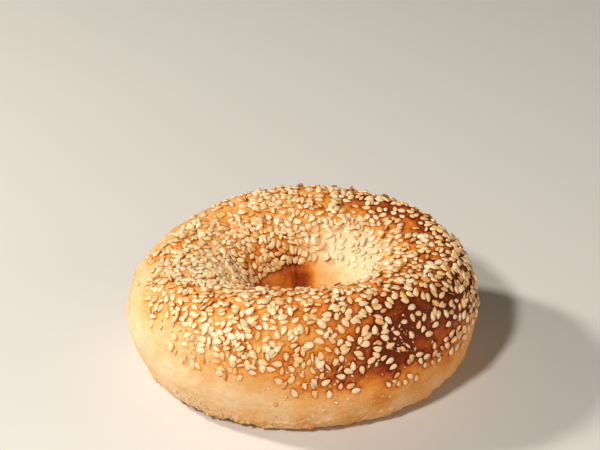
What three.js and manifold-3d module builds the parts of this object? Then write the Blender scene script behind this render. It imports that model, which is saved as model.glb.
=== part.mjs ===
// A sesame bagel: one hand-shaped ring of dough with its seeds baked on, in millimetres.
// +Z is up and the bagel rests on z = 0. The origin is the centre of its footprint, +X runs along
// the long way of the ring, and -Y is the front. The hole sits a little towards the front.
import * as THREE from "three";
import { ParametricGeometry } from "three/addons/geometries/ParametricGeometry.js";
import { mergeVertices } from "three/addons/utils/BufferGeometryUtils.js";
import Module from "manifold-3d";

// Driving dimensions of the dough. Directions round the ring are in radians from +X towards +Y.
const RING = {
  radius: 54.4, // mean distance from the centre to the outer side
  oval: 3.6, // the long way exceeds the mean by this much, and the short way falls short by it
  ovalAt: 0.05, // direction of the long way
  lobe: 0.5, // a faint three-sided swelling from shaping by hand
};
const HOLE = {
  neck: 13.3, // radius at the narrowest
  x: 0.3, // its centre, from the ring's centre
  y: -3.6,
};
const SECTION = {
  crown: 40.7, // mean height of the top
  tilt: 2.1, // the top is higher by this much on one side, and lower on the other
  tiltAt: -0.93, // direction of the higher side
  saddle: 2.0, // the top is higher by this much at two opposite places, and lower between them
  saddleAt: 1.68, // direction of one of the higher places
  equator: 18.0, // height of the widest line
  sink: 1.6, // how far the round underside would reach below the surface that flattens it
  crest: 0.66, // where the top of the ring lies, as a share of the way from neck to outer side
  crestSwing: 0.11, // that share is larger by this much on one side, and smaller on the other
  crestAt: 1.11, // direction of the side where it is larger
  shoulder: 0.85, // how square the outer shoulder is: 1 is an ellipse, and less is squarer
  underside: 1.0, // the same for the outer side below the equator
  funnel: 0.885, // and for the slopes into the hole, above and below
};
// Slow swellings of hand-shaped dough: their size as a share of the section's, how many there are
// round the ring and round the section, and their phase in radians.
const SWELLINGS = [
  { size: 0.014, round: 3, over: 1, phase: 1.9 },
  { size: 0.01, round: 5, over: -1, phase: 0.4 },
  { size: 0.006, round: 8, over: 1, phase: 2.6 },
];
const INNER_SWELLING = 0.4; // what is left of them at the neck
const SLICES = 54; // steps round the ring
const STEPS = 24; // steps round its section

// Driving dimensions of the seeds. All but the lengths are shares of a seed's length.
const SEED = {
  count: 236, // those large enough to make as solids
  longest: 3.5,
  shortest: 2.9,
  width: 0.6,
  thickness: 0.34,
  bury: 0.155, // how deep its underside is baked into the crust
  blunt: 0.42, // how far the widest place is from the middle, as a share of half the length
  taper: 0.4, // and how far the place is, the other way, where it starts to close to a point
  taperWidth: 0.8, // its width there, as a share of the full width
};
// The seeded band: section angles in degrees, with 0 at the outer equator and 90 on top.
const BAND = {
  outer: 22,
  outerSwing: 13, // the band starts this much lower on one side, and higher on the other
  outerAt: -0.45, // direction of the side where it starts lower, in radians
  outerRise: 44, // a bare shoulder lifts its start by this much more
  riseAt: 2.62, // direction of that shoulder
  riseWidth: 0.8, // and its half width
  inner: 144,
  innerSwing: 10, // it ends this much deeper in the hole on one side, and higher on the other
  innerAt: 2.2, // direction of the side where it ends deeper
  stray: 14, // single seeds lie this much further down the outer side
  strayShare: 0.12, // as often as this, where the band has 1
};
// Bare patches in the band: the middle and the half widths, in degrees.
const BARE = [
  { section: 42, azimuth: -49, high: 18, wide: 9 },
  { section: 20, azimuth: -38, high: 9, wide: 12 },
  { section: 12, azimuth: -62, high: 7, wide: 14 },
  { section: 40, azimuth: -142, high: 17, wide: 15 },
  { section: 84, azimuth: 122, high: 18, wide: 22 },
  { section: 102, azimuth: 56, high: 7, wide: 15 },
  { section: 96, azimuth: 29, high: 7, wide: 10 },
  { section: 121, azimuth: 90, high: 6, wide: 9 },
  { section: 150, azimuth: 26, high: 9, wide: 16 },
];
const BARENESS = 0.95; // the share of its seeds that the middle of a bare patch lacks

// The strides that spread numbers evenly over a square, from the plastic number.
const PLASTIC = 1.32471795724475;
const STRIDE_U = 1 / PLASTIC;
const STRIDE_V = STRIDE_U / PLASTIC;

const TURN = 2 * Math.PI;
const radians = THREE.MathUtils.degToRad;

// Distance from the ring's centre to its outer side.
function outerRadius(azimuth) {
  const oval = RING.oval * Math.cos(2 * (azimuth - RING.ovalAt));
  return RING.radius + oval + RING.lobe * Math.sin(3 * azimuth);
}

// The middle of the outline's extents, which is where the origin goes.
function outlineCentre() {
  const reach = new THREE.Box2();
  for (let degree = 0; degree < 360; degree++) {
    const azimuth = radians(degree);
    const rim = new THREE.Vector2(Math.cos(azimuth), Math.sin(azimuth));
    reach.expandByPoint(rim.multiplyScalar(outerRadius(azimuth)));
  }
  return reach.getCenter(new THREE.Vector2());
}
const CENTRE = outlineCentre();

// A power that keeps the sign, which squares or rounds an ellipse.
function bulge(value, power) {
  return Math.sign(value) * Math.abs(value) ** power;
}

// How much larger the section is at a place than it would be without the swellings.
function swelling(azimuth, section) {
  const share = THREE.MathUtils.mapLinear(Math.cos(section), -1, 1, INNER_SWELLING, 1);
  let size = 1;
  for (const wave of SWELLINGS) {
    const angle = wave.round * azimuth + wave.over * section + wave.phase;
    size += share * wave.size * Math.sin(angle);
  }
  return size;
}

// A point of the crust. Azimuth runs round the ring from +X, and section runs round its section
// from the outer equator over the top. Each section stands between the round neck of the hole and
// the outline, which have centres of their own. The foot is flat at z = 0.
function crustPoint(azimuth, section) {
  const across = Math.cos(section);
  const up = Math.sin(section);
  const size = swelling(azimuth, section);
  const crest = SECTION.crest + SECTION.crestSwing * Math.cos(azimuth - SECTION.crestAt);
  const crown =
    SECTION.crown +
    SECTION.tilt * Math.cos(azimuth - SECTION.tiltAt) +
    SECTION.saddle * Math.cos(2 * (azimuth - SECTION.saddleAt));
  const height = up * (up > 0 ? crown - SECTION.equator : SECTION.equator + SECTION.sink);
  const width =
    across > 0
      ? (1 - crest) * bulge(across, up > 0 ? SECTION.shoulder : SECTION.underside)
      : crest * bulge(across, SECTION.funnel);
  const share = crest + width * size;
  const radius = THREE.MathUtils.lerp(HOLE.neck, outerRadius(azimuth), share);
  return new THREE.Vector3(
    radius * Math.cos(azimuth) + HOLE.x * (1 - share) - CENTRE.x,
    radius * Math.sin(azimuth) + HOLE.y * (1 - share) - CENTRE.y,
    Math.max(0, SECTION.equator + height * size),
  );
}

// A place on the crust: the point, the directions round the ring, over the section and outwards,
// and the area that a step in both angles covers, in square millimetres for a square radian.
function crustFrame(azimuth, section) {
  const step = 0.01;
  const at = crustPoint(azimuth, section);
  const round = crustPoint(azimuth + step, section).sub(at).divideScalar(step);
  const over = crustPoint(azimuth, section + step).sub(at).divideScalar(step);
  const out = round.clone().cross(over);
  const area = out.length();
  out.normalize();
  round.normalize();
  return { at, round, over: out.clone().cross(round), out, area };
}

// The ring of dough, as a grid round the ring and round its section.
function doughGeometry() {
  const surface = (u, v, target) => target.copy(crustPoint(u * TURN, v * TURN));
  return new ParametricGeometry(surface, SLICES, STEPS);
}

// A sesame seed lying along Y, with its flat sides up and down: a drop with a sharp edge all
// round, and a ridge along the middle of each flat side.
function seedGeometry(length) {
  const half = length / 2;
  const wide = half * SEED.width;
  const profile = [
    new THREE.Vector2(0, -half),
    new THREE.Vector2(wide, -half * SEED.blunt),
    new THREE.Vector2(wide * SEED.taperWidth, half * SEED.taper),
    new THREE.Vector2(0, half),
  ];
  return new THREE.LatheGeometry(profile, 4).scale(1, 1, SEED.thickness / SEED.width);
}

// The fractional part of a fixed stride, taken index times: an even spread from 0 to 1.
function spread(index, stride) {
  return (0.5 + index * stride) % 1;
}

// A repeatable draw from 0 to 1 for each index and purpose.
function draw(index, purpose) {
  const wave = Math.sin(index * 12.9898 + purpose * 78.233) * 43758.5453;
  return wave - Math.floor(wave);
}

// The signed angle from one direction to another, between minus and plus half a turn.
function turned(azimuth, from) {
  return Math.atan2(Math.sin(azimuth - from), Math.cos(azimuth - from));
}

// The share of its full number of seeds that a place has, from 0 to 1.
function seedCover(azimuth, section) {
  const rise = Math.exp(-((turned(azimuth, BAND.riseAt) / BAND.riseWidth) ** 2));
  const swing = BAND.outerSwing * Math.cos(azimuth - BAND.outerAt);
  const outer = radians(BAND.outer - swing + BAND.outerRise * rise);
  const inner = radians(BAND.inner + BAND.innerSwing * Math.cos(azimuth - BAND.innerAt));
  if (section > inner || section < outer - radians(BAND.stray)) return 0;
  let cover = section > outer ? 1 : BAND.strayShare;
  for (const patch of BARE) {
    const wide = turned(azimuth, radians(patch.azimuth)) / radians(patch.wide);
    const high = (section - radians(patch.section)) / radians(patch.high);
    cover *= 1 - BARENESS * Math.exp(-high * high - wide * wide);
  }
  return cover;
}

// Where the seeds lie, largest first: an even spread over the band, thinned where the crust is
// drawn in round the hole or sparsely seeded.
function seedPlaces() {
  const lowest = radians(BAND.outer - BAND.outerSwing - BAND.stray);
  const highest = radians(BAND.inner + BAND.innerSwing);
  const roomiest = RING.radius * SECTION.crown;
  const places = [];
  for (let index = 0; places.length < SEED.count; index++) {
    const azimuth = TURN * spread(index, STRIDE_U);
    const section = THREE.MathUtils.lerp(lowest, highest, spread(index, STRIDE_V));
    const frame = crustFrame(azimuth, section);
    const chance = (frame.area / roomiest) * seedCover(azimuth, section);
    if (draw(index, 1) < chance) {
      places.push({ ...frame, heading: TURN * draw(index, 2) });
    }
  }
  return places;
}

// One seed, turned to its heading and baked into the crust at its place.
function seedAt(place, length) {
  const along = place.round
    .clone()
    .multiplyScalar(Math.cos(place.heading))
    .addScaledVector(place.over, Math.sin(place.heading));
  const aside = along.clone().cross(place.out);
  const lift = length * (SEED.thickness / 2 - SEED.bury);
  const middle = place.at.clone().addScaledVector(place.out, lift);
  const seat = new THREE.Matrix4().makeBasis(aside, along, place.out).setPosition(middle);
  return seedGeometry(length).applyMatrix4(seat);
}

// A closed body from a geometry, for joining.
function solidOf(wasm, geometry) {
  const bare = geometry.deleteAttribute("normal").deleteAttribute("uv");
  const merged = mergeVertices(bare, 1e-4);
  return new wasm.Manifold(
    new wasm.Mesh({
      numProp: 3,
      vertProperties: merged.attributes.position.array,
      triVerts: new Uint32Array(merged.index.array),
    }),
  );
}

// The dough with its seeds joined on, as one closed body.
async function bagelGeometry() {
  const wasm = await Module();
  wasm.setup();
  const dough = solidOf(wasm, doughGeometry());
  const seeds = seedPlaces().map((place, rank) => {
    const length = THREE.MathUtils.lerp(SEED.longest, SEED.shortest, rank / SEED.count);
    return solidOf(wasm, seedAt(place, length));
  });
  const joined = wasm.Manifold.union([dough, ...seeds]).getMesh();
  const geometry = new THREE.BufferGeometry();
  geometry.setAttribute("position", new THREE.BufferAttribute(joined.vertProperties, 3));
  geometry.setIndex(new THREE.BufferAttribute(joined.triVerts, 1));
  geometry.computeVertexNormals();
  return geometry;
}

const crust = new THREE.MeshStandardMaterial({
  color: 0xd9974f,
  roughness: 0.5,
  metalness: 0,
});
const bagel = new THREE.Mesh(await bagelGeometry(), crust);
bagel.name = "bagel";

const part = new THREE.Group();
part.add(bagel);
export default part;
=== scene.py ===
"""A sesame bagel: a hand-shaped ring of dough, baked darkest on one shoulder, under a coat of seeds.

The ring is worked out from two angles. Azimuth runs round the ring from +X towards +Y, and section
runs round its section from the outer equator over the top. Sizes are in millimetres up to the
moment that a mesh is made, and angles in radians, unless a name or a comment says degrees.
"""

from __future__ import annotations

import logging
import math
from collections.abc import Sequence
from dataclasses import dataclass
from enum import Enum

import bpy
import numpy as np
from mathutils import Matrix, Vector
from numpy.typing import NDArray

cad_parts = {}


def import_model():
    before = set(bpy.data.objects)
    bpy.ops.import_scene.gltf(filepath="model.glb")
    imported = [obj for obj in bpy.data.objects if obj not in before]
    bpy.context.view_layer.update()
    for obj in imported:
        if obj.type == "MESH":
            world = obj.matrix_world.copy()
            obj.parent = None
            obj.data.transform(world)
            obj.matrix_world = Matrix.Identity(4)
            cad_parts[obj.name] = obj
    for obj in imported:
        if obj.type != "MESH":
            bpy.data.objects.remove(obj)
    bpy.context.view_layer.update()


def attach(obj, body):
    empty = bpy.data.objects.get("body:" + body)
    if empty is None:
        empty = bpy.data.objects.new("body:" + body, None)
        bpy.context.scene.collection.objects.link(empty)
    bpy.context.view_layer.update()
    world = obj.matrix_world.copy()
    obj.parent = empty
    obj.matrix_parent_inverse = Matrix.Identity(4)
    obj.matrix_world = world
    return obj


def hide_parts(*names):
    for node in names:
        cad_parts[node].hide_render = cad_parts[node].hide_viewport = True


Array = NDArray[np.float64]
Colour = tuple[float, float, float]
Tones = tuple[tuple[float, Colour], ...]
Range = tuple[float, float]
Socket = bpy.types.NodeSocket
Piece = bpy.types.Object
Material = bpy.types.Material

# Layered noise: its cells for each metre, its layers and how rough the finer ones make it.
Noise = tuple[float, float, float]
# Four values: where something starts, is full, starts to fade and is gone.
Span = tuple[float, float, float, float]

log = logging.getLogger("bagel")

BODY = "root"
NODE = "bagel"
MILLIMETRE = 0.001
TURN = 2.0 * math.pi

# The strides that spread numbers evenly over a square, from the plastic number.
PLASTIC = 1.32471795724475
STRIDE_U = 1.0 / PLASTIC
STRIDE_V = STRIDE_U / PLASTIC

# What a repeatable draw multiplies its index, its purpose and its sine by.
DRAW_INDEX = 12.9898
DRAW_PURPOSE = 78.233
DRAW_SINE = 43758.5453

# The first index of each kind of thing that is drawn by chance, the even seeds having the lowest.
FIRST_POCK = 5000.0
FIRST_LATER_SEED = 20000.0
FIRST_CRUMB = 70000.0
WAVES_APART = 1000.0


def draw(index: Array, purpose: int) -> Array:
    """Gives a repeatable number from 0 to 1 for each index and purpose.

    It is the fractional part of a large multiple of a sine, so it has no state and no seed.

    Args:
        index: Whole numbers, one for each draw.
        purpose: Which of an index's draws is wanted.

    Returns:
        Numbers from 0 to 1, as many as the indices.
    """
    wave = np.sin(index * DRAW_INDEX + purpose * DRAW_PURPOSE) * DRAW_SINE
    return wave - np.floor(wave)


def between(low: float | Array, high: float | Array, share: Array) -> Array:
    """Gives low + (high - low) times share."""
    return low + (high - low) * share


def ease(value: Array, low: float | Array, high: float | Array) -> Array:
    """Climbs smoothly from 0 at low to 1 at high, by the cubic 3t² - 2t³."""
    t = np.clip((value - low) / (high - low), 0.0, 1.0)
    return t * t * (3.0 - 2.0 * t)


def within(value: Array, span: Span) -> Array:
    """Climbs smoothly from 0 to 1 and falls back to 0 over a span."""
    return ease(value, *span[:2]) * (1.0 - ease(value, *span[2:]))


def turned(angle: Array, to: float | Array) -> Array:
    """Gives the signed angle from `to` to `angle`, between minus and plus half a turn."""
    return np.arctan2(np.sin(angle - to), np.cos(angle - to))


def unit(vectors: Array) -> Array:
    """Scales each vector to a length of 1."""
    return vectors / np.linalg.norm(vectors, axis=-1, keepdims=True)


def mesh_piece(
    name: str, points: Array, faces: Sequence[Array], layers: dict[str, Array], material: Material
) -> Piece:
    """Makes a smooth-shaded mesh object at the origin, from one or more copies of the same faces.

    Args:
        name: The piece's name.
        points: Corner positions in millimetres, one row for each in each copy.
        faces: Arrays of one copy's corner numbers, one row for each face, in each array as wide.
        layers: Numbers carried by the corners for the finish to read, by layer name.
        material: The finish.

    Returns:
        The new object, with its place in its mesh.
    """
    mesh = bpy.data.meshes.new(name)
    offset = np.arange(len(points))[:, None, None] * points.shape[1]
    blocks = [(block + offset).reshape(-1, block.shape[1]) for block in faces]
    rows = [row for block in blocks for row in block.tolist()]
    mesh.from_pydata((points.reshape(-1, 3) * MILLIMETRE).tolist(), [], rows)
    for layer, values in layers.items():
        attribute = mesh.attributes.new(layer, "FLOAT", "POINT")
        attribute.data.foreach_set("value", values.astype(np.float32).ravel())
    mesh.materials.append(material)
    mesh.shade_smooth()
    mesh.validate()
    piece = bpy.data.objects.new(name, mesh)
    bpy.context.scene.collection.objects.link(piece)
    return piece


@dataclass(frozen=True)
class Unevenness:
    """A smooth random field with no seam: plane waves added up in evenly spread directions.

    The value at a point p is sqrt(2 / waves) times the sum of sin(k · p + phase), with each wave
    vector k from slowest to fastest turns for each length, so that it varies by about 1 either way.
    """

    length: float
    seed: int
    waves: int = 36
    slowest: float = 0.7
    fastest: float = 1.4

    def at(self, points: Array) -> Array:
        """Reads the field.

        Args:
            points: Positions in millimetres, in the last axis.

        Returns:
            The value at each, with a mean of 0 and a spread of 1.
        """
        index = np.arange(self.waves) + WAVES_APART * self.seed
        height = between(-1.0, 1.0, draw(index, 11))
        round_it = TURN * draw(index, 12)
        reach = TURN / self.length * between(self.slowest, self.fastest, draw(index, 13))
        flat = np.sqrt(1.0 - height**2)
        waves = np.stack([flat * np.cos(round_it), flat * np.sin(round_it), height], -1) * reach[:, None]
        total = np.zeros(points.shape[:-1])
        for wave, phase in zip(waves, TURN * draw(index, 14)):
            total += np.sin(points @ wave + phase)
        return total * math.sqrt(2.0 / self.waves)


@dataclass(frozen=True)
class Swelling:
    """One slow wave in the size of the hand-shaped section: its size, as a share of the section's,
    its turns round the ring and round the section, and its phase."""

    size: float
    around: int
    over: int
    phase: float

    def at(self, azimuth: Array, section: Array) -> Array:
        """Reads the wave."""
        return self.size * np.sin(self.around * azimuth + self.over * section + self.phase)


@dataclass(frozen=True)
class Place:
    """Spots on the ring, each with directions round the ring, over the section and outwards, and the
    area that a step in both angles covers, in square millimetres for a square radian."""

    at: Array
    around: Array
    over: Array
    out: Array
    area: Array


@dataclass(frozen=True)
class RingShape:
    """The hand-shaped ring, without its fine relief."""

    radius: float = 54.4
    oval: float = 3.6
    oval_at: float = 0.05
    lobe: float = 0.5
    neck: float = 13.3
    hole_x: float = 0.3
    hole_y: float = -3.6
    crown: float = 40.7
    tilt: float = 2.1
    tilt_at: float = -0.93
    saddle: float = 2.0
    saddle_at: float = 1.68
    equator: float = 18.0
    sink: float = 1.6
    crest: float = 0.66
    crest_swing: float = 0.11
    crest_at: float = 1.11
    shoulder: float = 0.85
    underside: float = 1.0
    funnel: float = 0.885
    inner_swelling: float = 0.4
    swellings: tuple[Swelling, ...] = (
        Swelling(0.014, 3, 1, 1.9),
        Swelling(0.010, 5, -1, 0.4),
        Swelling(0.006, 8, 1, 2.6),
    )

    def outline(self, azimuth: Array) -> Array:
        """Gives the radius of the outer side: a circle, an oval of two waves and a lobe of three."""
        oval = self.oval * np.cos(2.0 * (azimuth - self.oval_at))
        return self.radius + oval + self.lobe * np.sin(3.0 * azimuth)

    def centre(self) -> Array:
        """Finds where the origin goes.

        Returns:
            The middle of the outline's extents.
        """
        azimuth = np.radians(np.arange(360.0))
        rim = self.outline(azimuth)[:, None] * np.stack([np.cos(azimuth), np.sin(azimuth)], -1)
        return (rim.min(0) + rim.max(0)) / 2.0

    def swelling(self, azimuth: Array, section: Array) -> Array:
        """Gives the section's size: 1 plus the sum of the slow waves, which fade towards the neck."""
        share = between(self.inner_swelling, 1.0, (np.cos(section) + 1.0) / 2.0)
        return 1.0 + share * sum(wave.at(azimuth, section) for wave in self.swellings)

    def points(self, azimuth: Array, section: Array) -> Array:
        """Works out points of the crust.

        Each section stands between the round neck of the hole and the outline, which have centres of
        their own. Its width and height are those of an ellipse with its crest off the middle, made a
        little squarer by a power. Below z = 0 it is cut flat.

        Args:
            azimuth: Directions round the ring.
            section: Directions round its section.

        Returns:
            Positions, with x, y and z in the last axis.
        """
        across, up = np.cos(section), np.sin(section)
        size = self.swelling(azimuth, section)
        crest = self.crest + self.crest_swing * np.cos(azimuth - self.crest_at)
        crown = self.crown + self.tilt * np.cos(azimuth - self.tilt_at)
        crown = crown + self.saddle * np.cos(2.0 * (azimuth - self.saddle_at))
        height = up * np.where(up > 0, crown - self.equator, self.equator + self.sink)
        power = np.where(across > 0, np.where(up > 0, self.shoulder, self.underside), self.funnel)
        reach = np.where(across > 0, 1.0 - crest, crest)
        share = crest + reach * np.sign(across) * np.abs(across) ** power * size
        radius = between(self.neck, self.outline(azimuth), share)
        centre = self.centre()
        x = radius * np.cos(azimuth) + self.hole_x * (1.0 - share) - centre[0]
        y = radius * np.sin(azimuth) + self.hole_y * (1.0 - share) - centre[1]
        return np.stack([x, y, np.maximum(0.0, self.equator + height * size)], -1)

    def places(self, azimuth: Array, section: Array) -> Place:
        """Works out spots with their directions, from small steps in both angles.

        Args:
            azimuth: Directions round the ring.
            section: Directions round its section.

        Returns:
            The spots.
        """
        step = 0.01
        at = self.points(azimuth, section)
        around = (self.points(azimuth + step, section) - at) / step
        over = (self.points(azimuth, section + step) - at) / step
        across = np.cross(around, over)
        area = np.linalg.norm(across, axis=-1)
        out = across / np.maximum(area, 1e-9)[..., None]
        around = unit(around)
        return Place(at, around, np.cross(out, around), out, area)


@dataclass(frozen=True)
class Patch:
    """A soft-edged patch of crust: its middle and half widths in degrees, and its amount."""

    section: float
    azimuth: float
    high: float
    wide: float
    amount: float = 1.0

    def at(self, azimuth: Array, section: Array) -> Array:
        """Gives the amount times exp(-h² - w²), with h and w the distances in half widths."""
        wide = np.degrees(turned(azimuth, math.radians(self.azimuth))) / self.wide
        return self.amount * np.exp(-(((np.degrees(section) - self.section) / self.high) ** 2) - wide**2)


def patches(*rows: tuple[float, ...]) -> tuple[Patch, ...]:
    """Makes a patch of each row of section, azimuth, high, wide and, where it isn't 1, amount."""
    return tuple(Patch(*row) for row in rows)


def thinned(share: Array, where: tuple[Patch, ...], azimuth: Array, section: Array) -> Array:
    """Takes each patch out of a share at spots on the ring, by multiplying it by 1 - patch."""
    return share * math.prod(1.0 - patch.at(azimuth, section) for patch in where)


@dataclass(frozen=True)
class Pocks:
    """Small round bumps or dents: how many, the lowest and highest section that they lie at in
    degrees, their smallest and largest reach, their height, the power of the reach that it grows
    by, and the first of their draws."""

    count: int
    low: float
    high: float
    smallest: float
    largest: float
    height: float
    growth: float
    purpose: int

    def at(self, shape: RingShape, points: Array) -> Array:
        """Adds up the pocks. Each is its height times exp(-(distance / reach)²).

        Args:
            shape: The ring that they lie on.
            points: Where to read them, in millimetres.

        Returns:
            Their height at each point.
        """
        index = np.arange(float(self.count)) + FIRST_POCK
        azimuth = TURN * draw(index, self.purpose)
        section = np.radians(between(self.low, self.high, draw(index, self.purpose + 1)))
        reach = between(self.smallest, self.largest, draw(index, self.purpose + 2))
        total = np.zeros(points.shape[:-1])
        for spot, size in zip(shape.points(azimuth, section), reach):
            height = self.height * size**self.growth
            total += height * np.exp(-((points - spot) ** 2).sum(-1) / size**2)
        return total


class NodeSheet:
    """A material's node tree, with one short method for each kind of node that the finishes use."""

    def __init__(self, name: str) -> None:
        """Makes an empty material.

        Args:
            name: The material's name.
        """
        self.material = bpy.data.materials.new(name)
        self.material.use_nodes = True
        self.tree = self.material.node_tree
        self.tree.nodes.clear()

    def put(self, socket: Socket, value: object) -> None:
        """Links a socket to another node's output, or sets it to a plain value.

        Args:
            socket: The input.
            value: The output, number or colour that it takes.
        """
        if isinstance(value, Socket):
            self.tree.links.new(value, socket)
        elif isinstance(value, tuple) and socket.type == "RGBA":
            socket.default_value = (*value, 1.0)
        else:
            socket.default_value = value

    def node(self, kind: str, inputs: dict, output: str | int, **settings: object) -> Socket:
        """Adds a node.

        Args:
            kind: The node's type.
            inputs: What each of its inputs takes, by name or number.
            output: The name or number of the output that is wanted.
            settings: The node's own properties.

        Returns:
            The output.
        """
        node = self.tree.nodes.new(kind)
        for name, value in settings.items():
            setattr(node, name, value)
        for name, value in inputs.items():
            self.put(node.inputs[name], value)
        return node.outputs[output]

    def place(self) -> Socket:
        """Adds the position on the piece."""
        return self.node("ShaderNodeTexCoord", {}, "Object")

    def layer(self, name: str) -> Socket:
        """Adds the numbers that the mesh carries in a layer."""
        return self.node("ShaderNodeAttribute", {}, "Fac", attribute_name=name)

    def noise(self, where: Socket, scale: float, detail: float, roughness: float) -> Socket:
        """Adds layered noise, with scale in cells for each metre."""
        inputs = {"Vector": where, "Scale": scale, "Detail": detail, "Roughness": roughness}
        return self.node("ShaderNodeTexNoise", inputs, "Fac")

    def spots(self, where: Socket, scale: float) -> Socket:
        """Adds the distance to the nearest of scattered spots, with scale in spots for each metre."""
        return self.node("ShaderNodeTexVoronoi", {"Vector": where, "Scale": scale}, "Distance")

    def math(self, operation: str, *values: object) -> Socket:
        """Adds a sum of two or three values."""
        return self.node("ShaderNodeMath", dict(enumerate(values)), "Value", operation=operation)

    def shifted(self, value: Socket, noise: Socket, size: float) -> Socket:
        """Adds noise to a value, counted from the noise's middle and multiplied by a size."""
        return self.math("MULTIPLY_ADD", self.math("SUBTRACT", noise, 0.5), size, value)

    def step(self, value: Socket, low: float, high: float, to_low: float, to_high: float) -> Socket:
        """Adds a smooth step from to_low, where the value is low, to to_high, where it is high."""
        inputs = {"Value": value, "From Min": low, "From Max": high, "To Min": to_low, "To Max": to_high}
        return self.node("ShaderNodeMapRange", inputs, "Result", interpolation_type="SMOOTHSTEP")

    def ramp(self, value: Socket, tones: Tones) -> Socket:
        """Adds a ramp of colours.

        Args:
            value: Where to read the ramp.
            tones: Its colours, each with its place from 0 to 1.

        Returns:
            The colour.
        """
        colour = self.node("ShaderNodeValToRGB", {"Fac": value}, "Color")
        elements = colour.node.color_ramp.elements
        while len(elements) < len(tones):
            elements.new(1.0)
        for element, (position, tone) in zip(elements, tones):
            element.position = position
            element.color = (*tone, 1.0)
        return colour

    def bump(self, height: Socket, distance: float, strength: float) -> Socket:
        """Adds a bump from a height, which stands for that distance in metres."""
        inputs = {"Height": height, "Distance": distance, "Strength": strength}
        return self.node("ShaderNodeBump", inputs, "Normal")

    def finish(self, inputs: dict[str, object]) -> Material:
        """Adds the surface shader and links it to the material's output.

        Args:
            inputs: What each of the shader's inputs takes.

        Returns:
            The finished material.
        """
        shader = self.node("ShaderNodeBsdfPrincipled", inputs, "BSDF")
        self.put(self.tree.nodes.new("ShaderNodeOutputMaterial").inputs["Surface"], shader)
        return self.material


@dataclass(frozen=True)
class Specks:
    """Small spots over part of the crust: how many for each metre, the distances from a spot's middle
    at which it starts to fade and is gone, its strength, the values of the mottling at which the
    spots come in and are all there, and their colour."""

    scale: float
    fades_at: float
    gone_at: float
    strength: float
    in_at: float
    full_at: float
    colour: Colour


@dataclass(frozen=True)
class CrustFinish:
    """Baked crust: cream where it is pale, through gold and orange to a dark red brown, mottled and
    speckled, with a fine skin and a soft shine."""

    browning_and_shade_layer: str = "browning_and_shade"
    tones: Tones = (
        (0.00, (0.82, 0.60, 0.36)),
        (0.12, (0.80, 0.52, 0.27)),
        (0.24, (0.77, 0.42, 0.165)),
        (0.38, (0.74, 0.31, 0.06)),
        (0.52, (0.62, 0.18, 0.02)),
        (0.66, (0.44, 0.095, 0.012)),
        (0.82, (0.25, 0.036, 0.006)),
        (1.00, (0.13, 0.018, 0.003)),
    )
    mottling: tuple[Noise, ...] = ((150.0, 4.0, 0.6), (420.0, 5.0, 0.65), (1500.0, 3.0, 0.6))
    streaks: Noise = (260.0, 5.0, 0.7)
    streak_shape: Colour = (1.0, 1.0, 3.5)
    shifts: tuple[float, ...] = (0.22, 0.28, 0.16, 0.32)
    dark_specks: Specks = Specks(620.0, 0.10, 0.22, 0.55, 0.50, 0.62, (0.42, 0.15, 0.04))
    pale_specks: Specks = Specks(1100.0, 0.08, 0.20, 0.35, 0.48, 0.60, (0.92, 0.74, 0.50))
    skin: Noise = (900.0, 6.0, 0.7)
    pits: float = 750.0
    pit_reach: float = 0.35
    pit_depth: float = 0.5
    skin_height: float = 0.00028
    skin_strength: float = 0.55
    shine_span: Range = (0.35, 0.65)
    roughness: Range = (0.37, 0.57)

    def make(self) -> Material:
        """Builds the material.

        The browning and painted shade that the mesh carries is shifted by three sizes of mottling and
        by flat streaks, and looked up on the ramp of tones. Small dark and pale specks are laid over
        it. The bump adds a fine pitted skin.

        Returns:
            The material.
        """
        sheet = NodeSheet("baked_crust")
        where = sheet.place()
        broad, mottle, fine = (sheet.noise(where, *noise) for noise in self.mottling)
        inputs = {0: where, 1: self.streak_shape}
        stretched = sheet.node("ShaderNodeVectorMath", inputs, "Vector", operation="MULTIPLY")
        streaks = sheet.noise(stretched, *self.streaks)
        shifted = sheet.layer(self.browning_and_shade_layer)
        for noise, size in zip((broad, mottle, fine, streaks), self.shifts):
            shifted = sheet.shifted(shifted, noise, size)
        tone = sheet.ramp(shifted, self.tones)
        for specks, noise in ((self.dark_specks, mottle), (self.pale_specks, broad)):
            spots = sheet.spots(where, specks.scale)
            spots = sheet.step(spots, specks.fades_at, specks.gone_at, specks.strength, 0.0)
            part = sheet.step(noise, specks.in_at, specks.full_at, 0.0, 1.0)
            inputs = {"Factor": sheet.math("MULTIPLY", spots, part), 6: tone, 7: specks.colour}
            tone = sheet.node("ShaderNodeMix", inputs, 2, data_type="RGBA")
        pits = sheet.step(sheet.spots(where, self.pits), 0.0, self.pit_reach, -self.pit_depth, 0.0)
        height = sheet.math("ADD", sheet.noise(where, *self.skin), pits)
        return sheet.finish(
            {
                "Base Color": tone,
                "Roughness": sheet.step(mottle, *self.shine_span, *self.roughness),
                "Normal": sheet.bump(height, self.skin_height, self.skin_strength),
                "Subsurface Weight": 0.22,
                "Subsurface Scale": 0.0014,
                "Subsurface Radius": (1.0, 0.4, 0.15),
                "Specular IOR Level": 0.08,
                "Coat Weight": 0.02,
                "Coat Roughness": 0.32,
            }
        )


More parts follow.
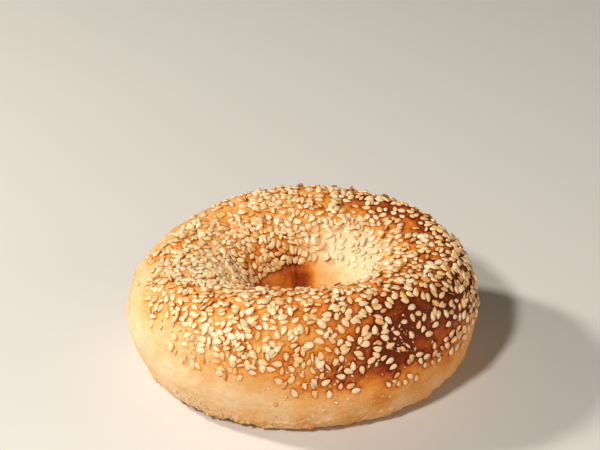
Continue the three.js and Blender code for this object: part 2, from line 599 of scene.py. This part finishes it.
@dataclass(frozen=True)
class SeedFinish:
    """Baked sesame: cream to golden by how toasted each seed is, a little darker at its tip, with
    painted shade on its sides and underside carried in the same layer.
    """

    name: str
    toast_layer: str = "toast"
    tones: Tones = (
        (0.00, (0.88, 0.67, 0.43)),
        (0.30, (0.85, 0.56, 0.28)),
        (0.55, (0.78, 0.42, 0.14)),
        (0.80, (0.60, 0.24, 0.05)),
        (1.00, (0.33, 0.10, 0.02)),
    )
    streaks: Noise = (1300.0, 4.0, 0.6)
    streak_shift: float = 0.35
    skin: Noise = (2600.0, 3.0, 0.6)
    skin_height: float = 0.00012
    skin_strength: float = 0.4

    def make(self) -> Material:
        """Builds the material: the toast that the mesh carries, shifted by fine streaks, looked up on
        the ramp of tones, over a faintly wrinkled skin.

        Returns:
            The material.
        """
        sheet = NodeSheet(self.name)
        where = sheet.place()
        streaks = sheet.noise(where, *self.streaks)
        toast = sheet.shifted(sheet.layer(self.toast_layer), streaks, self.streak_shift)
        skin = sheet.noise(where, *self.skin)
        return sheet.finish(
            {
                "Base Color": sheet.ramp(toast, self.tones),
                "Normal": sheet.bump(skin, self.skin_height, self.skin_strength),
                "Roughness": 0.3,
                "Subsurface Weight": 0.2,
                "Subsurface Scale": 0.0009,
                "Subsurface Radius": (1.0, 0.5, 0.2),
                "Specular IOR Level": 0.5,
            }
        )


@dataclass(frozen=True)
class PlainFinish:
    """One matt colour with a faint unevenness, for the floor."""

    name: str
    colour: Colour
    clouds: Noise = (3.0, 2.0, 0.5)
    darkest: float = 0.97
    roughness: float = 0.9

    def make(self) -> Material:
        """Builds the material.

        Returns:
            The material.
        """
        sheet = NodeSheet(self.name)
        darker = tuple(self.darkest * channel for channel in self.colour)
        tone = sheet.ramp(sheet.noise(sheet.place(), *self.clouds), ((0.3, darker), (0.7, self.colour)))
        return sheet.finish({"Roughness": self.roughness, "Base Color": tone})


@dataclass(frozen=True)
class Dough:
    """The ring of dough with its fine relief, and its browning with painted light and shade."""

    shape: RingShape = RingShape()
    finish: CrustFinish = CrustFinish()
    slices: int = 464
    steps: int = 214
    waves: tuple[tuple[float, Unevenness], ...] = (
        (0.16, Unevenness(21.0, 1)),
        (0.085, Unevenness(7.5, 2)),
        (0.045, Unevenness(3.1, 3)),
    )
    foot_wave: tuple[float, Unevenness] = (0.38, Unevenness(3.4, 4))
    foot_edge: Span = (-74.0, -50.0, -44.0, -22.0)
    pocks: tuple[Pocks, ...] = (
        Pocks(90, -30.0, 120.0, 0.7, 1.9, 0.09, 1.0, 21),
        Pocks(46, 12.0, 110.0, 0.9, 1.5, -0.16, 0.0, 31),
    )
    seam_at: float = 1.70
    seam_wander: float = 0.05
    seam_bends: float = 5.0
    seam_depth: float = 0.8
    seam_width: float = 0.7
    bore: Span = (132.0, 150.0, 205.0, 225.0)
    wrinkle_height: float = 0.2
    wrinkle_every: float = 4.6
    wrinkle_wander: float = 1.3
    wrinkle_drift: float = 4.0
    wrinkled: tuple[Patch, ...] = patches((104, -58, 16, 24), (118, -38, 12, 18, 0.8))
    pale: float = 0.16
    baked: float = 0.38
    bakes_over: Range = (-4.0, 34.0)
    drawn_in: float = 0.12
    draws_in_over: Range = (104.0, 146.0)
    side: float = 0.10
    side_at: float = -0.55
    side_fades_over: Range = (110.0, 140.0)
    # Patches of browning. Some are the crust's own tone, as on its darkest shoulder. Others are painted
    # shade: darker deep in the hole, on its shaded left inner wall and along the crease in its far wall.
    # Some are painted light: paler where the ring lies in shade.
    browned_lit_and_shaded: tuple[Patch, ...] = patches(
        (34, -50, 16, 18, 0.34), (56, -46, 16, 16, 0.30), (34, -26, 14, 20, 0.11),
        (-8, -52, 16, 28, 0.10), (15, -106, 11, 22, 0.03), (-12, -122, 14, 22, -0.09),
        (50, -12, 26, 24, 0.30), (84, 24, 16, 24, 0.20), (90, 46, 9, 18, 0.17),
        (98, 63, 10, 12, 0.17), (14, -54, 9, 20, 0.27), (4, -32, 14, 22, 0.08),
        (24, -150, 18, 26, -0.17), (46, 176, 22, 30, -0.06), (50, -104, 30, 34, -0.10),
        (98, 112, 16, 40, -0.05), (110, -166, 17, 36, -0.25), (42, -133, 12, 14, -0.10),
        (88, -80, 10, 16, -0.14), (7, -76, 11, 16, 0.20), (117, 129, 12, 15, 0.09),
        (28, -58, 13, 12, 0.20), (72, -57, 10, 12, 0.16), (49, -45, 12, 12, 0.10),
        (147, 109, 12, 18, 0.24), (130, 30, 20, 40, -0.30), (112, -62, 12, 40, -0.26),
        (160, 135, 20, 30, 0.22), (156, 46, 10, 14, 0.12), (142, 144, 26, 34, 0.22),
        (168, 88, 18, 15, 0.56), (160, 112, 16, 16, 0.12), (158, 97.4, 16, 2.4, 0.22),
        (196, 90, 26, 90, 0.30),
    )
    tone_wave: tuple[float, Unevenness] = (0.045, Unevenness(14.0, 5))
    seat_reach: float = 0.95
    seat_height: float = 0.14
    # How much darker the crust is painted round the seeds: painted contact shade.
    seat_shade: float = 1.1
    seat_window: int = 7
    coarse: int = 4

    def browning_and_shade(self, azimuth: Array, section: Array) -> Array:
        """Works out how dark the crust is baked, from 0 for cream to 1 for the darkest brown.

        It is pale low on the side, climbs to its full tone over the shoulder and falls again into
        the hole. One side is baked more than the other, and soft patches add to it or take away. Some
        patches are painted shade: darker deep in the hole, on its shaded left inner wall and along the
        crease in its far wall. Some are painted light: paler where the ring lies in shade.

        Args:
            azimuth: Directions round the ring.
            section: Directions round its section.

        Returns:
            The browning at each spot.
        """
        degrees = np.degrees(section)
        tone = self.pale + (self.baked - self.pale) * ease(degrees, *self.bakes_over)
        tone = tone - (self.baked - self.drawn_in) * ease(degrees, *self.draws_in_over)
        side = self.side * np.cos(azimuth - self.side_at)
        tone = tone + side * (1.0 - ease(degrees, *self.side_fades_over))
        # The patches add real browning, painted shade and painted light.
        for patch in self.browned_lit_and_shaded:
            tone = tone + patch.at(azimuth, section)
        size, wave = self.tone_wave
        return tone + size * wave.at(self.shape.points(azimuth, section))

    def relief(self, azimuth: Array, section: Array) -> Array:
        """Works out how far the crust stands out from the smooth ring.

        It is the sum of slow and fine waves, a ragged edge above the foot, small round blisters,
        shallow dents where seeds have come off, a crease down the far wall of the hole, and fine
        wrinkles that run along the rim of the hole.

        Args:
            azimuth: Directions round the ring.
            section: Directions round its section.

        Returns:
            The height of the relief at each spot, in millimetres.
        """
        at = self.shape.points(azimuth, section)
        degrees = np.degrees(section)
        height = sum(size * wave.at(at) for size, wave in self.waves)
        ragged, wave = self.foot_wave
        height = height + ragged * within(degrees, self.foot_edge) * np.abs(wave.at(at))
        height = height + sum(pocks.at(self.shape, at) for pocks in self.pocks)

        seam = self.seam_at + self.seam_wander * np.sin(self.seam_bends * section)
        aside = turned(azimuth, seam) * self.shape.neck / self.seam_width
        height = height - self.seam_depth * within(degrees, self.bore) * np.exp(-(aside**2))

        amount = sum(patch.at(azimuth, section) for patch in self.wrinkled)
        wander = self.wrinkle_wander * self.waves[1][1].at(at)
        lines = np.sin(TURN * degrees / self.wrinkle_every + wander + self.wrinkle_drift * azimuth)
        return height + self.wrinkle_height * amount * lines

    def skin(self, azimuth: Array, section: Array) -> Array:
        """Works out points of the crust: the smooth ring moved outwards by the relief, and kept above
        the foot's plane.

        Args:
            azimuth: Directions round the ring.
            section: Directions round its section.

        Returns:
            Positions, with x, y and z in the last axis.
        """
        place = self.shape.places(azimuth, section)
        points = place.at + place.out * self.relief(azimuth, section)[..., None]
        points[..., 2] = np.where(place.at[..., 2] <= 0.0, 0.0, np.maximum(points[..., 2], 0.0))
        return points

    def seats(self, points: Array, crust: Array) -> Array:
        """Works out where the crust gathers round the seeds.

        It rises near each given spot by exp(-(distance / reach)²), and where several spots raise it,
        the largest counts. Only the corners a few squares away from a spot are looked at.

        Args:
            points: The ring's grid of points.
            crust: The spots under the seeds.

        Returns:
            The share of the full height at each point of the grid, from 0 to 1.
        """
        seated = np.zeros(points.shape[:2])
        near = np.arange(-self.seat_window, self.seat_window + 1)
        coarse = points[:: self.coarse, :: self.coarse]
        for seat in crust:
            nearest = ((coarse - seat) ** 2).sum(-1).argmin()
            row, column = (self.coarse * i for i in np.unravel_index(nearest, coarse.shape[:2]))
            window = np.ix_((row + near) % self.slices, (column + near) % self.steps)
            share = np.exp(-((points[window] - seat) ** 2).sum(-1) / self.seat_reach**2)
            seated[window] = np.maximum(seated[window], share)
        return seated

    def build(self, crust: Array) -> Piece:
        """Builds the ring as a closed grid of squares in both angles, and dresses it.

        Args:
            crust: The spots under the seeds, three along each.

        Returns:
            The ring, which stands for the CAD node with the seeds of the other pieces.
        """
        turns = (np.arange(count) * TURN / count for count in (self.slices, self.steps))
        azimuth, section = np.meshgrid(*turns, indexing="ij")
        section = np.where(section > 1.5 * math.pi, section - TURN, section)
        points = self.skin(azimuth, section)
        seated = self.seats(points, crust)
        out = self.shape.places(azimuth, section).out
        points = points + self.seat_height * seated[..., None] * out
        here = np.arange(self.slices * self.steps).reshape(self.slices, self.steps)
        round_it, over_it = np.roll(here, -1, 0), np.roll(here, -1, 1)
        both = np.roll(round_it, -1, 1)
        faces = np.stack([here, round_it, both, over_it], -1).reshape(-1, 4)
        # Round each seed the crust is painted darker, more so where it is already brown: painted contact
        # shade.
        browning_and_shade = self.browning_and_shade(azimuth, section) * (1.0 + self.seat_shade * seated)
        layers = {self.finish.browning_and_shade_layer: browning_and_shade}
        return mesh_piece("dough", points.reshape(1, -1, 3), [faces], layers, self.finish.make())


class SeedKind(Enum):
    """The kinds of seed in the coat."""

    PLUMP = "plump"
    TOASTED = "toasted"
    HULL = "hull"


@dataclass(frozen=True)
class SeedForm:
    """The form of one kind of seed, as shares of its length, how it is baked, and the shade painted on
    its sides and underside.
    """

    share: float
    width: float
    thickness: float
    bury: float
    cup: float
    toast: float
    toast_spread: float
    tip_toast: float
    # How much each seed's sides darken, with a spread of signs: partly toasted rims, partly painted
    # shade.
    rim_toast_and_shade: float
    rim_spread: Range = (-0.8, 1.0)
    # How much the underside of each seed, towards the crust, and its two ends are darkened: painted
    # shade.
    under_shade: float = 0.6
    end_shade: float = 0.35
    bluntness: float = 0.5
    taper: float = 0.8
    squareness: float = 0.75
    dimple: float = 0.3
    around: int = 8
    rings: int = 5

    def surface(self) -> tuple[Array, list[Array], Array, Array, Array]:
        """Works out a seed 1 long, lying along Y with its flat sides up and down.

        At a share t of the half length, from the blunt end at -1 to the tip at 1, the half width is
        (1 + t) to the bluntness times (1 - t) to the taper, over its largest value. The section is a
        slightly squared ellipse with a dimple along its top. The cup lifts its edges by the square
        of the distance from the middle.

        Returns:
            The corners, the squares and the triangles at both ends, and at each corner t, how near
            it is to the seed's edge, and how near its underside, both from 0 to 1.
        """
        t = -np.cos(np.pi * (np.arange(self.rings) + 1.0) / (self.rings + 1.0))
        swell = (1.0 + t) ** self.bluntness * (1.0 - t) ** self.taper
        swell = swell / swell.max()
        angle = np.arange(self.around) * TURN / self.around
        round_it = np.stack([np.cos(angle), np.sin(angle)])
        across, up = np.sign(round_it) * np.abs(round_it) ** self.squareness
        up = up * (1.0 - self.dimple * np.clip(up, 0.0, 1.0) ** 8)
        x = 0.5 * self.width * swell[:, None] * across
        z = 0.5 * self.thickness * swell[:, None] * up + self.cup * x**2 / self.width
        y = np.broadcast_to(0.5 * t[:, None], x.shape)
        ends = np.array([[0.0, -0.5, 0.0], [0.0, 0.5, 0.0]])
        corners = np.concatenate([np.stack([x, y, z], -1).reshape(-1, 3), ends])
        here = np.arange(self.rings * self.around).reshape(self.rings, self.around)
        beside = np.roll(here, -1, 1)
        walls = np.stack([here[:-1], here[1:], beside[1:], beside[:-1]], -1).reshape(-1, 4)
        blunt = np.stack([np.full(self.around, here.size), here[0], beside[0]], -1)
        tip = np.stack([np.full(self.around, here.size + 1), beside[-1], here[-1]], -1)
        along = np.concatenate([np.repeat(t, self.around), [-1.0, 1.0]])
        edge = np.concatenate([np.tile(np.cos(angle) ** 2, self.rings), [1.0, 1.0]])
        low = (0.5 - 0.5 * np.sin(angle)) ** 1.5
        under = np.concatenate([np.tile(low, self.rings), [self.end_shade, self.end_shade]])
        return corners, [walls, blunt, tip], along, edge, under


@dataclass(frozen=True)
class SeedBand:
    """Where seeds lie: a band of the ring with sections in degrees, thinned by bare patches, and for
    the later seeds by thin patches too."""

    outer: float = 22.0
    outer_swing: float = 13.0
    outer_at: float = -0.45
    outer_rise: float = 44.0
    rise_at: float = 2.62
    rise_width: float = 0.8
    inner: float = 144.0
    inner_swing: float = 10.0
    inner_at: float = 2.2
    stray: float = 14.0
    stray_share: float = 0.12
    least_crowd: float = 0.25
    apart_at: float = -0.7
    bare: tuple[Patch, ...] = patches(
        (42, -49, 18, 9, 0.95), (20, -38, 9, 12, 0.95), (12, -62, 7, 14, 0.95),
        (40, -142, 17, 15, 0.95), (84, 122, 18, 22, 0.95), (102, 56, 7, 15, 0.95),
        (96, 29, 7, 10, 0.95), (121, 90, 6, 9, 0.95), (150, 26, 9, 16, 0.95),
    )
    thin: tuple[Patch, ...] = patches(
        (40, -44, 18, 18, 0.55), (20, -34, 14, 24, 0.70), (134, 20, 16, 30, 0.35),
        (108, -56, 13, 28, 0.90), (98, 34, 16, 40, 0.35), (52, -42, 14, 14, 0.5),
        (60, -165, 20, 24, 0.3), (110, -164, 16, 32, 0.35), (48, -34, 13, 14, 0.35),
        (24, -57, 12, 11, 0.55), (11, -65, 8, 15, 0.75), (71, -55, 9, 9, 0.4),
        (49, -46, 10, 10, 0.3),
    )

    def limits(self) -> tuple[float, float]:
        """Gives the lowest and the highest section that any seed has."""
        lowest = self.outer - self.outer_swing - self.stray
        return math.radians(lowest), math.radians(self.inner + self.inner_swing)

    def cover(self, azimuth: Array, section: Array) -> Array:
        """Works out the share of its full number of seeds that each spot has.

        Args:
            azimuth: Directions round the ring.
            section: Directions round its section.

        Returns:
            Shares from 0 to 1.
        """
        outer = self.outer - self.outer_swing * np.cos(azimuth - self.outer_at)
        risen = np.exp(-((turned(azimuth, self.rise_at) / self.rise_width) ** 2))
        outer = np.radians(outer + self.outer_rise * risen)
        inner = np.radians(self.inner + self.inner_swing * np.cos(azimuth - self.inner_at))
        cover = np.where(section > outer, 1.0, self.stray_share)
        cover = np.where((section > inner) | (section < outer - math.radians(self.stray)), 0.0, cover)
        return thinned(cover, self.bare, azimuth, section)

    def crowd(self, azimuth: Array, section: Array) -> Array:
        """Gives how closely the later seeds lie, from 0 for apart to 1 for heaped."""
        crowd = between(self.least_crowd, 1.0, 0.5 - 0.5 * np.cos(azimuth - self.apart_at))
        return thinned(crowd, self.thin, azimuth, section)


@dataclass(frozen=True)
class Bed:
    """Where each seed lies: its number and angles, three points along its middle, the crust there and
    the way out of it, its length, the ways along it and out of its flat side, and its rise."""

    index: Array
    azimuth: Array
    section: Array
    lain: Array
    crust: Array
    out: Array
    length: Array
    along: Array
    facing: Array
    rise: Array


@dataclass(frozen=True)
class SeedCoat:
    """The sesame seeds baked onto the ring. The first of them are those of the CAD node."""

    dough: Dough
    band: SeedBand = SeedBand()
    large: int = 236
    large_tries: int = 1400
    later_tries: int = 22000
    headings: int = 7
    longest: float = 3.5
    shortest: float = 2.9
    small: float = 2.4
    near: float = 4.0
    beside: float = 1.7
    beside_crowded: float = 1.20
    over: float = 0.65
    over_share: float = 0.08
    over_share_crowded: float = 0.65
    over_rise: float = 0.5
    over_lean: float = 0.4
    least_over: float = 0.35
    on_edge: float = 0.10
    edge_roll: float = 1.15
    edge_rise: float = 0.35
    reach: float = 0.27
    tilt: float = 0.3
    widths: Range = (0.92, 1.14)
    # Painted light and shade on the seeds: patches that make them paler where positive and more toasted
    # where negative, to stand for how their places are lit.
    seed_light_and_shade: tuple[Patch, ...] = patches(
        (132, 34, 18, 44, 0.28), (146, 130, 16, 36, -0.28), (108, -162, 16, 34, 0.34),
        (44, -133, 10, 13, 0.3), (117, 129, 12, 15, -0.1), (108, -66, 12, 40, 0.3),
    )
    forms: tuple[tuple[SeedKind, SeedForm], ...] = (
        (SeedKind.PLUMP, SeedForm(0.60, 0.60, 0.34, 0.10, 0.0, 0.04, 0.34, 0.22, 0.34)),
        (SeedKind.TOASTED, SeedForm(0.35, 0.58, 0.31, 0.08, 0.0, 0.28, 0.36, 0.30, 0.34)),
        (SeedKind.HULL, SeedForm(0.05, 0.50, 0.10, -0.03, 0.6, 0.46, 0.30, 0.10, 0.10)),
    )

    def spots(self) -> tuple[Array, Array, Array]:
        """Chooses where seeds may lie. The large ones are an even spread over the band and the later
        ones are scattered over it by chance. Both are left out by chance where the crust is drawn in
        round the hole or sparsely seeded, so that each square millimetre keeps its share.

        Returns:
            The number, azimuth and section of each seed.
        """
        even = np.arange(float(self.large_tries))
        later = np.arange(float(self.later_tries)) + FIRST_LATER_SEED
        index = np.concatenate([even, later])
        spread = np.mod(0.5 + even * STRIDE_V, 1.0)
        azimuth = TURN * np.concatenate([np.mod(0.5 + even * STRIDE_U, 1.0), draw(later, 41)])
        section = between(*self.band.limits(), np.concatenate([spread, draw(later, 42)]))
        cover = self.band.cover(azimuth, section)
        later_cover = thinned(cover, self.band.thin, azimuth, section)
        cover = np.where(index < FIRST_LATER_SEED, cover, later_cover)
        roomiest = self.dough.shape.radius * self.dough.shape.crown
        area = self.dough.shape.places(azimuth, section).area
        kept = draw(index, 1) < area / roomiest * cover
        kept = kept & ((index >= FIRST_LATER_SEED) | (np.cumsum(kept) <= self.large))
        return index[kept], azimuth[kept], section[kept]

    def lay(self) -> Bed:
        """Lays the seeds one after another, each as three points along its middle.

        A later seed tries several headings and takes the one that keeps it furthest from the seeds
        already there. If that still puts it on one, it is left out, or raised and tilted to lie
        over its edge.

        Returns:
            The seeds as they lie.
        """
        index, azimuth, section = self.spots()
        crust = self.dough.skin(azimuth, section)
        place = self.dough.shape.places(azimuth, section)
        rank = np.arange(len(index))
        length = np.where(
            rank < self.large,
            between(self.longest, self.shortest, rank / self.large),
            between(self.small, self.longest, draw(index, 3) ** 1.3),
        )
        heading = TURN * draw(index, 2)
        step = math.pi / self.headings
        shares = np.array([-self.reach, 0.0, self.reach])[:, None]
        facing = place.out.copy()
        rise = np.zeros(len(index))
        crowd = self.band.crowd(azimuth, section)
        beside = between(self.beside, self.beside_crowded, crowd)
        over_share = between(self.over_share, self.over_share_crowded, crowd)
        stays = np.zeros(len(index), bool)
        lain = np.zeros((len(index), 3, 3))
        for number in range(len(index)):
            turns = heading[number] + step * np.arange(self.headings if number >= self.large else 1)
            round_it, over_it = place.around[number], place.over[number]
            flat = np.cos(turns)[:, None] * round_it + np.sin(turns)[:, None] * over_it
            tries = crust[number] + length[number] * shares * flat[:, None]
            near = stays & (np.abs(crust - crust[number]).max(1) < self.near)
            best = 0
            if near.any():
                gaps = tries[:, :, None] - lain[near].reshape(-1, 3)
                apart = np.linalg.norm(gaps, axis=-1)
                best = apart.min((1, 2)).argmax()
                nearest = apart[best].min()
                if number >= self.large and nearest < beside[number]:
                    if nearest < self.over or draw(index[number], 10) > over_share[number]:
                        continue
                    row, column = np.unravel_index(apart[best].argmin(), apart[best].shape)
                    share = (beside[number] - nearest) / (beside[number] - self.over)
                    share = min(1.0, share + self.least_over)
                    rise[number] = self.over_rise * share
                    facing[number] += self.over_lean * share * gaps[best, row, column] / nearest
            heading[number] = turns[best]
            lain[number] = tries[best]
            stays[number] = True
        flat = np.cos(heading)[:, None] * place.around + np.sin(heading)[:, None] * place.over
        facing = facing + self.tilt * (draw(index, 4) - 0.5)[:, None] * place.around
        facing = unit(facing + self.tilt * (draw(index, 5) - 0.5)[:, None] * place.over)
        along = unit(flat - (flat * facing).sum(-1, keepdims=True) * facing)
        edgewise = (rank >= self.large) & (draw(index, 15) < self.on_edge)
        roll = self.edge_roll * edgewise * np.where(draw(index, 16) < 0.5, -1.0, 1.0)
        roll = roll[:, None]
        facing = np.cos(roll) * facing + np.sin(roll) * np.cross(along, facing)
        rise = rise + self.edge_rise * edgewise
        parts = (index, azimuth, section, lain, crust, place.out, length, along, facing, rise)
        return Bed(*(values[stays] for values in parts))

    def build(self, bed: Bed) -> list[Piece]:
        """Builds one piece for each kind of seed, as joined meshes from whole arrays.

        Args:
            bed: The seeds as they lie.

        Returns:
            The pieces.
        """
        pick = draw(bed.index, 6)
        seed_light_and_shade = sum(patch.at(bed.azimuth, bed.section) for patch in self.seed_light_and_shade)
        aside = np.cross(bed.along, bed.facing)
        pieces = []
        floor = 0.0
        for kind, form in self.forms:
            these = (pick >= floor) & (pick < floor + form.share)
            floor += form.share
            index = bed.index[these]
            corners, faces, t, edge, under = form.surface()
            size = bed.length[these, None, None] * corners[None]
            size[..., 0] *= between(*self.widths, draw(index, 7))[:, None]
            lift = bed.length * (form.thickness / 2.0 - form.bury) + bed.rise
            middle = bed.crust + bed.out * lift[:, None]
            points = (
                middle[these, None]
                + size[..., :1] * aside[these, None]
                + size[..., 1:2] * bed.along[these, None]
                + size[..., 2:] * bed.facing[these, None]
            )
            toast = form.toast + form.toast_spread * (draw(index, 8) - 0.4)
            # Seeds are painted paler or darker by patches: painted light and shade.
            toast = (toast - seed_light_and_shade[these])[:, None]
            tips = form.tip_toast * draw(index, 9)[:, None] * np.clip(t, 0.0, 1.0) ** 2
            # The seed's sides darken: partly toasted rims, partly painted shade.
            rims = form.rim_toast_and_shade * between(*form.rim_spread, draw(index, 17))[:, None] * edge
            # The underside of each seed is darkened towards the crust: painted shade.
            toast = toast + tips + rims + form.under_shade * under
            finish = SeedFinish(f"sesame_{kind.value}")
            layers = {finish.toast_layer: toast}
            pieces.append(mesh_piece(f"seeds_{kind.value}", points, faces, layers, finish.make()))
            log.info("seeds_%s: %d seeds", kind.value, len(points))
        return pieces


@dataclass(frozen=True)
class Crumbs:
    """Flakes of seed and hull, and grit along the foot, each a small lens with five corners round it.

    Each field gives how many lie over a patch.
    """

    dough: Dough
    fields: tuple[tuple[int, Patch], ...] = (
        (60, Patch(30, -56, 14, 14)),
        (80, Patch(14, -86, 10, 12)),
        (150, Patch(36, -128, 10, 13)),
        (110, Patch(60, -90, 34, 60)),
        (70, Patch(-10, -70, 16, 26)),
        (120, Patch(-38, -132, 12, 14)),
        (40, Patch(80, 160, 30, 40)),
    )
    smallest: float = 0.4
    largest: float = 1.9
    tilt: float = 0.7
    proud: float = 0.12
    uneven: Range = (0.6, 1.3)
    narrow: Range = (0.45, 0.9)
    thick: Range = (0.08, 0.22)
    toast: Range = (0.0, 0.75)
    sides: int = 5

    def build(self) -> Piece:
        """Builds the crumbs as one joined mesh, scattered about the middle of each field, more thinly
        towards its edges.

        Returns:
            The piece.
        """
        counts, fields = zip(*self.fields)
        count = sum(counts)
        index = np.arange(float(count)) + FIRST_CRUMB
        rows = [[field.section, field.azimuth, field.high, field.wide] for field in fields]
        middle = np.repeat(rows, counts, 0)
        spread = np.sqrt(-np.log(1.0 - 0.98 * draw(index, 51)))
        turn = TURN * draw(index, 52)
        section = np.radians(middle[:, 0] + middle[:, 2] * spread * np.cos(turn))
        azimuth = np.radians(middle[:, 1] + middle[:, 3] * spread * np.sin(turn))
        place = self.dough.shape.places(azimuth, section)
        crust = self.dough.skin(azimuth, section)
        size = between(self.smallest, self.largest, draw(index, 53) ** 1.8)
        facing = place.out + self.tilt * (draw(index, 54) - 0.5)[:, None] * place.around
        facing = unit(facing + self.tilt * (draw(index, 55) - 0.5)[:, None] * place.over)
        heading = TURN * draw(index, 56)[:, None]
        along = np.cos(heading) * place.around + np.sin(heading) * place.over
        along = unit(along - (along * facing).sum(-1, keepdims=True) * facing)
        aside = np.cross(along, facing)

        round_it = np.arange(self.sides) * TURN / self.sides
        uneven = between(*self.uneven, draw(index[:, None] * 7.0 + np.arange(self.sides), 57))
        ring = 0.5 * size[:, None] * uneven
        narrow = between(*self.narrow, draw(index, 58))[:, None]
        rim = (ring * np.cos(round_it))[..., None] * along[:, None]
        rim = rim + (narrow * ring * np.sin(round_it))[..., None] * aside[:, None]
        thick = (size * between(*self.thick, draw(index, 59)))[:, None] * facing
        centre = crust + self.proud * size[:, None] * place.out
        tops = np.stack([centre - thick, centre + thick], 1)
        points = np.concatenate([centre[:, None] + rim, tops], 1)
        here = np.arange(self.sides)
        beside = np.roll(here, -1)
        upper = np.stack([here, beside, np.full(self.sides, self.sides + 1)], -1)
        lower = np.stack([beside, here, np.full(self.sides, self.sides)], -1)
        toast = np.repeat(between(*self.toast, draw(index, 60) ** 1.6), self.sides + 2)
        finish = SeedFinish("sesame_crumb")
        layers = {finish.toast_layer: toast}
        log.info("crumbs: %d flakes", count)
        return mesh_piece("crumbs", points, [np.concatenate([upper, lower])], layers, finish.make())


@dataclass(frozen=True)
class Lamp:
    """A square light a metre from the bagel, facing it: its name, its direction in degrees, its side
    in metres, its power in watts and its colour."""

    name: str
    azimuth: float
    elevation: float
    side: float
    power: float
    colour: Colour

    def hang(self) -> None:
        """Adds the light to the scene."""
        round_it, high = math.radians(self.azimuth), math.radians(self.elevation)
        out = math.cos(high)
        away = Vector((out * math.cos(round_it), out * math.sin(round_it), math.sin(high)))
        data = bpy.data.lights.new(self.name, "AREA")
        data.size = self.side
        data.energy = self.power
        data.color = self.colour
        lamp = bpy.data.objects.new(self.name, data)
        lamp.location = away
        lamp.rotation_mode = "QUATERNION"
        lamp.rotation_quaternion = (-away).to_track_quat("-Z", "Y")
        bpy.context.scene.collection.objects.link(lamp)


@dataclass(frozen=True)
class Studio:
    """The pale floor, the camera and the lights: a warm key to the left, a second light high in front,
    a soft fill, and a low warm light at the right, in a dim warm room."""

    floor_reach: float = 3.0
    floor_colour: Colour = (0.66, 0.65, 0.63)
    camera_elevation: float = 32.0
    camera_distance: float = 0.650
    camera_target: float = 0.020
    focal_pixels: float = 1950.0
    frame_width: float = 600.0
    sensor: float = 36.0
    below_centre: float = 79.7
    beside_centre: float = 0.4
    roll: float = 0.55
    lamps: tuple[Lamp, ...] = (
        Lamp("key", 170.0, 39.0, 0.10, 7.75, (1.0, 0.94, 0.84)),
        Lamp("front", -122.0, 47.0, 0.10, 7.3, (1.0, 0.95, 0.88)),
        Lamp("fill", -80.0, 20.0, 0.8, 1.6, (1.0, 0.93, 0.84)),
        Lamp("rim", -14.0, 15.0, 0.4, 2.5, (1.0, 0.84, 0.66)),
    )
    room_colour: Colour = (1.0, 0.86, 0.68)
    room_strength: float = 0.035

    def build_floor(self) -> Piece:
        """Builds the floor as a flat square at z = 0.

        Returns:
            The floor.
        """
        reach = self.floor_reach / MILLIMETRE
        corners = np.array([[-1.0, -1.0, 0.0], [1.0, -1.0, 0.0], [1.0, 1.0, 0.0], [-1.0, 1.0, 0.0]])
        finish = PlainFinish("pale_floor", self.floor_colour)
        return mesh_piece("floor", corners[None] * reach, [np.array([[0, 1, 2, 3]])], {}, finish.make())

    def build_camera(self) -> None:
        """Builds the camera. It is aimed above the target by the angle that puts the target below the
        middle of the picture, and rolled a little."""
        elevation = math.radians(self.camera_elevation)
        back = Vector((0.0, -math.cos(elevation), math.sin(elevation)))
        up = Vector((0.0, math.sin(elevation), math.cos(elevation)))
        right = Vector((1.0, 0.0, 0.0))
        forward = -back * self.focal_pixels + up * self.below_centre - right * self.beside_centre
        forward.normalize()
        up = (up - forward * up.dot(forward)).normalized()
        right = forward.cross(up)
        roll = math.radians(self.roll)
        rolled_right = right * math.cos(roll) - up * math.sin(roll)
        rolled_up = up * math.cos(roll) + right * math.sin(roll)
        data = bpy.data.cameras.new("camera")
        data.sensor_width = self.sensor
        data.lens = self.focal_pixels / self.frame_width * self.sensor
        data.clip_start = 0.01
        camera = bpy.data.objects.new("camera", data)
        turn = Matrix((rolled_right, rolled_up, -forward)).transposed()
        camera.location = Vector((0.0, 0.0, self.camera_target)) + back * self.camera_distance
        camera.rotation_mode = "QUATERNION"
        camera.rotation_quaternion = turn.to_quaternion()
        bpy.context.scene.collection.objects.link(camera)
        bpy.context.scene.camera = camera

    def build_room(self) -> None:
        """Gives the scene its faint even light."""
        world = bpy.data.worlds.new("room")
        world.use_nodes = True
        background = world.node_tree.nodes["Background"]
        background.inputs["Color"].default_value = (*self.room_colour, 1.0)
        background.inputs["Strength"].default_value = self.room_strength
        bpy.context.scene.world = world

    def build(self) -> None:
        """Builds the floor, the lights and the camera, and sets plain colour."""
        self.build_floor()
        for lamp in self.lamps:
            lamp.hang()
        self.build_room()
        self.build_camera()
        bpy.context.scene.view_settings.view_transform = "Standard"
        log.info("studio: floor, lights and camera")


def main() -> None:
    """Builds the bagel and its setting, piece by piece."""
    logging.basicConfig(level=logging.INFO, format="%(name)s: %(message)s")
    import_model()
    Studio().build()
    dough = Dough()
    coat = SeedCoat(dough)
    bed = coat.lay()
    ring = dough.build(bed.lain.reshape(-1, 3))
    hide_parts(NODE)
    log.info("dough: %d faces", len(ring.data.polygons))
    for piece in [ring, *coat.build(bed), Crumbs(dough).build()]:
        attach(piece, BODY)


if __name__ == "__main__":
    main()
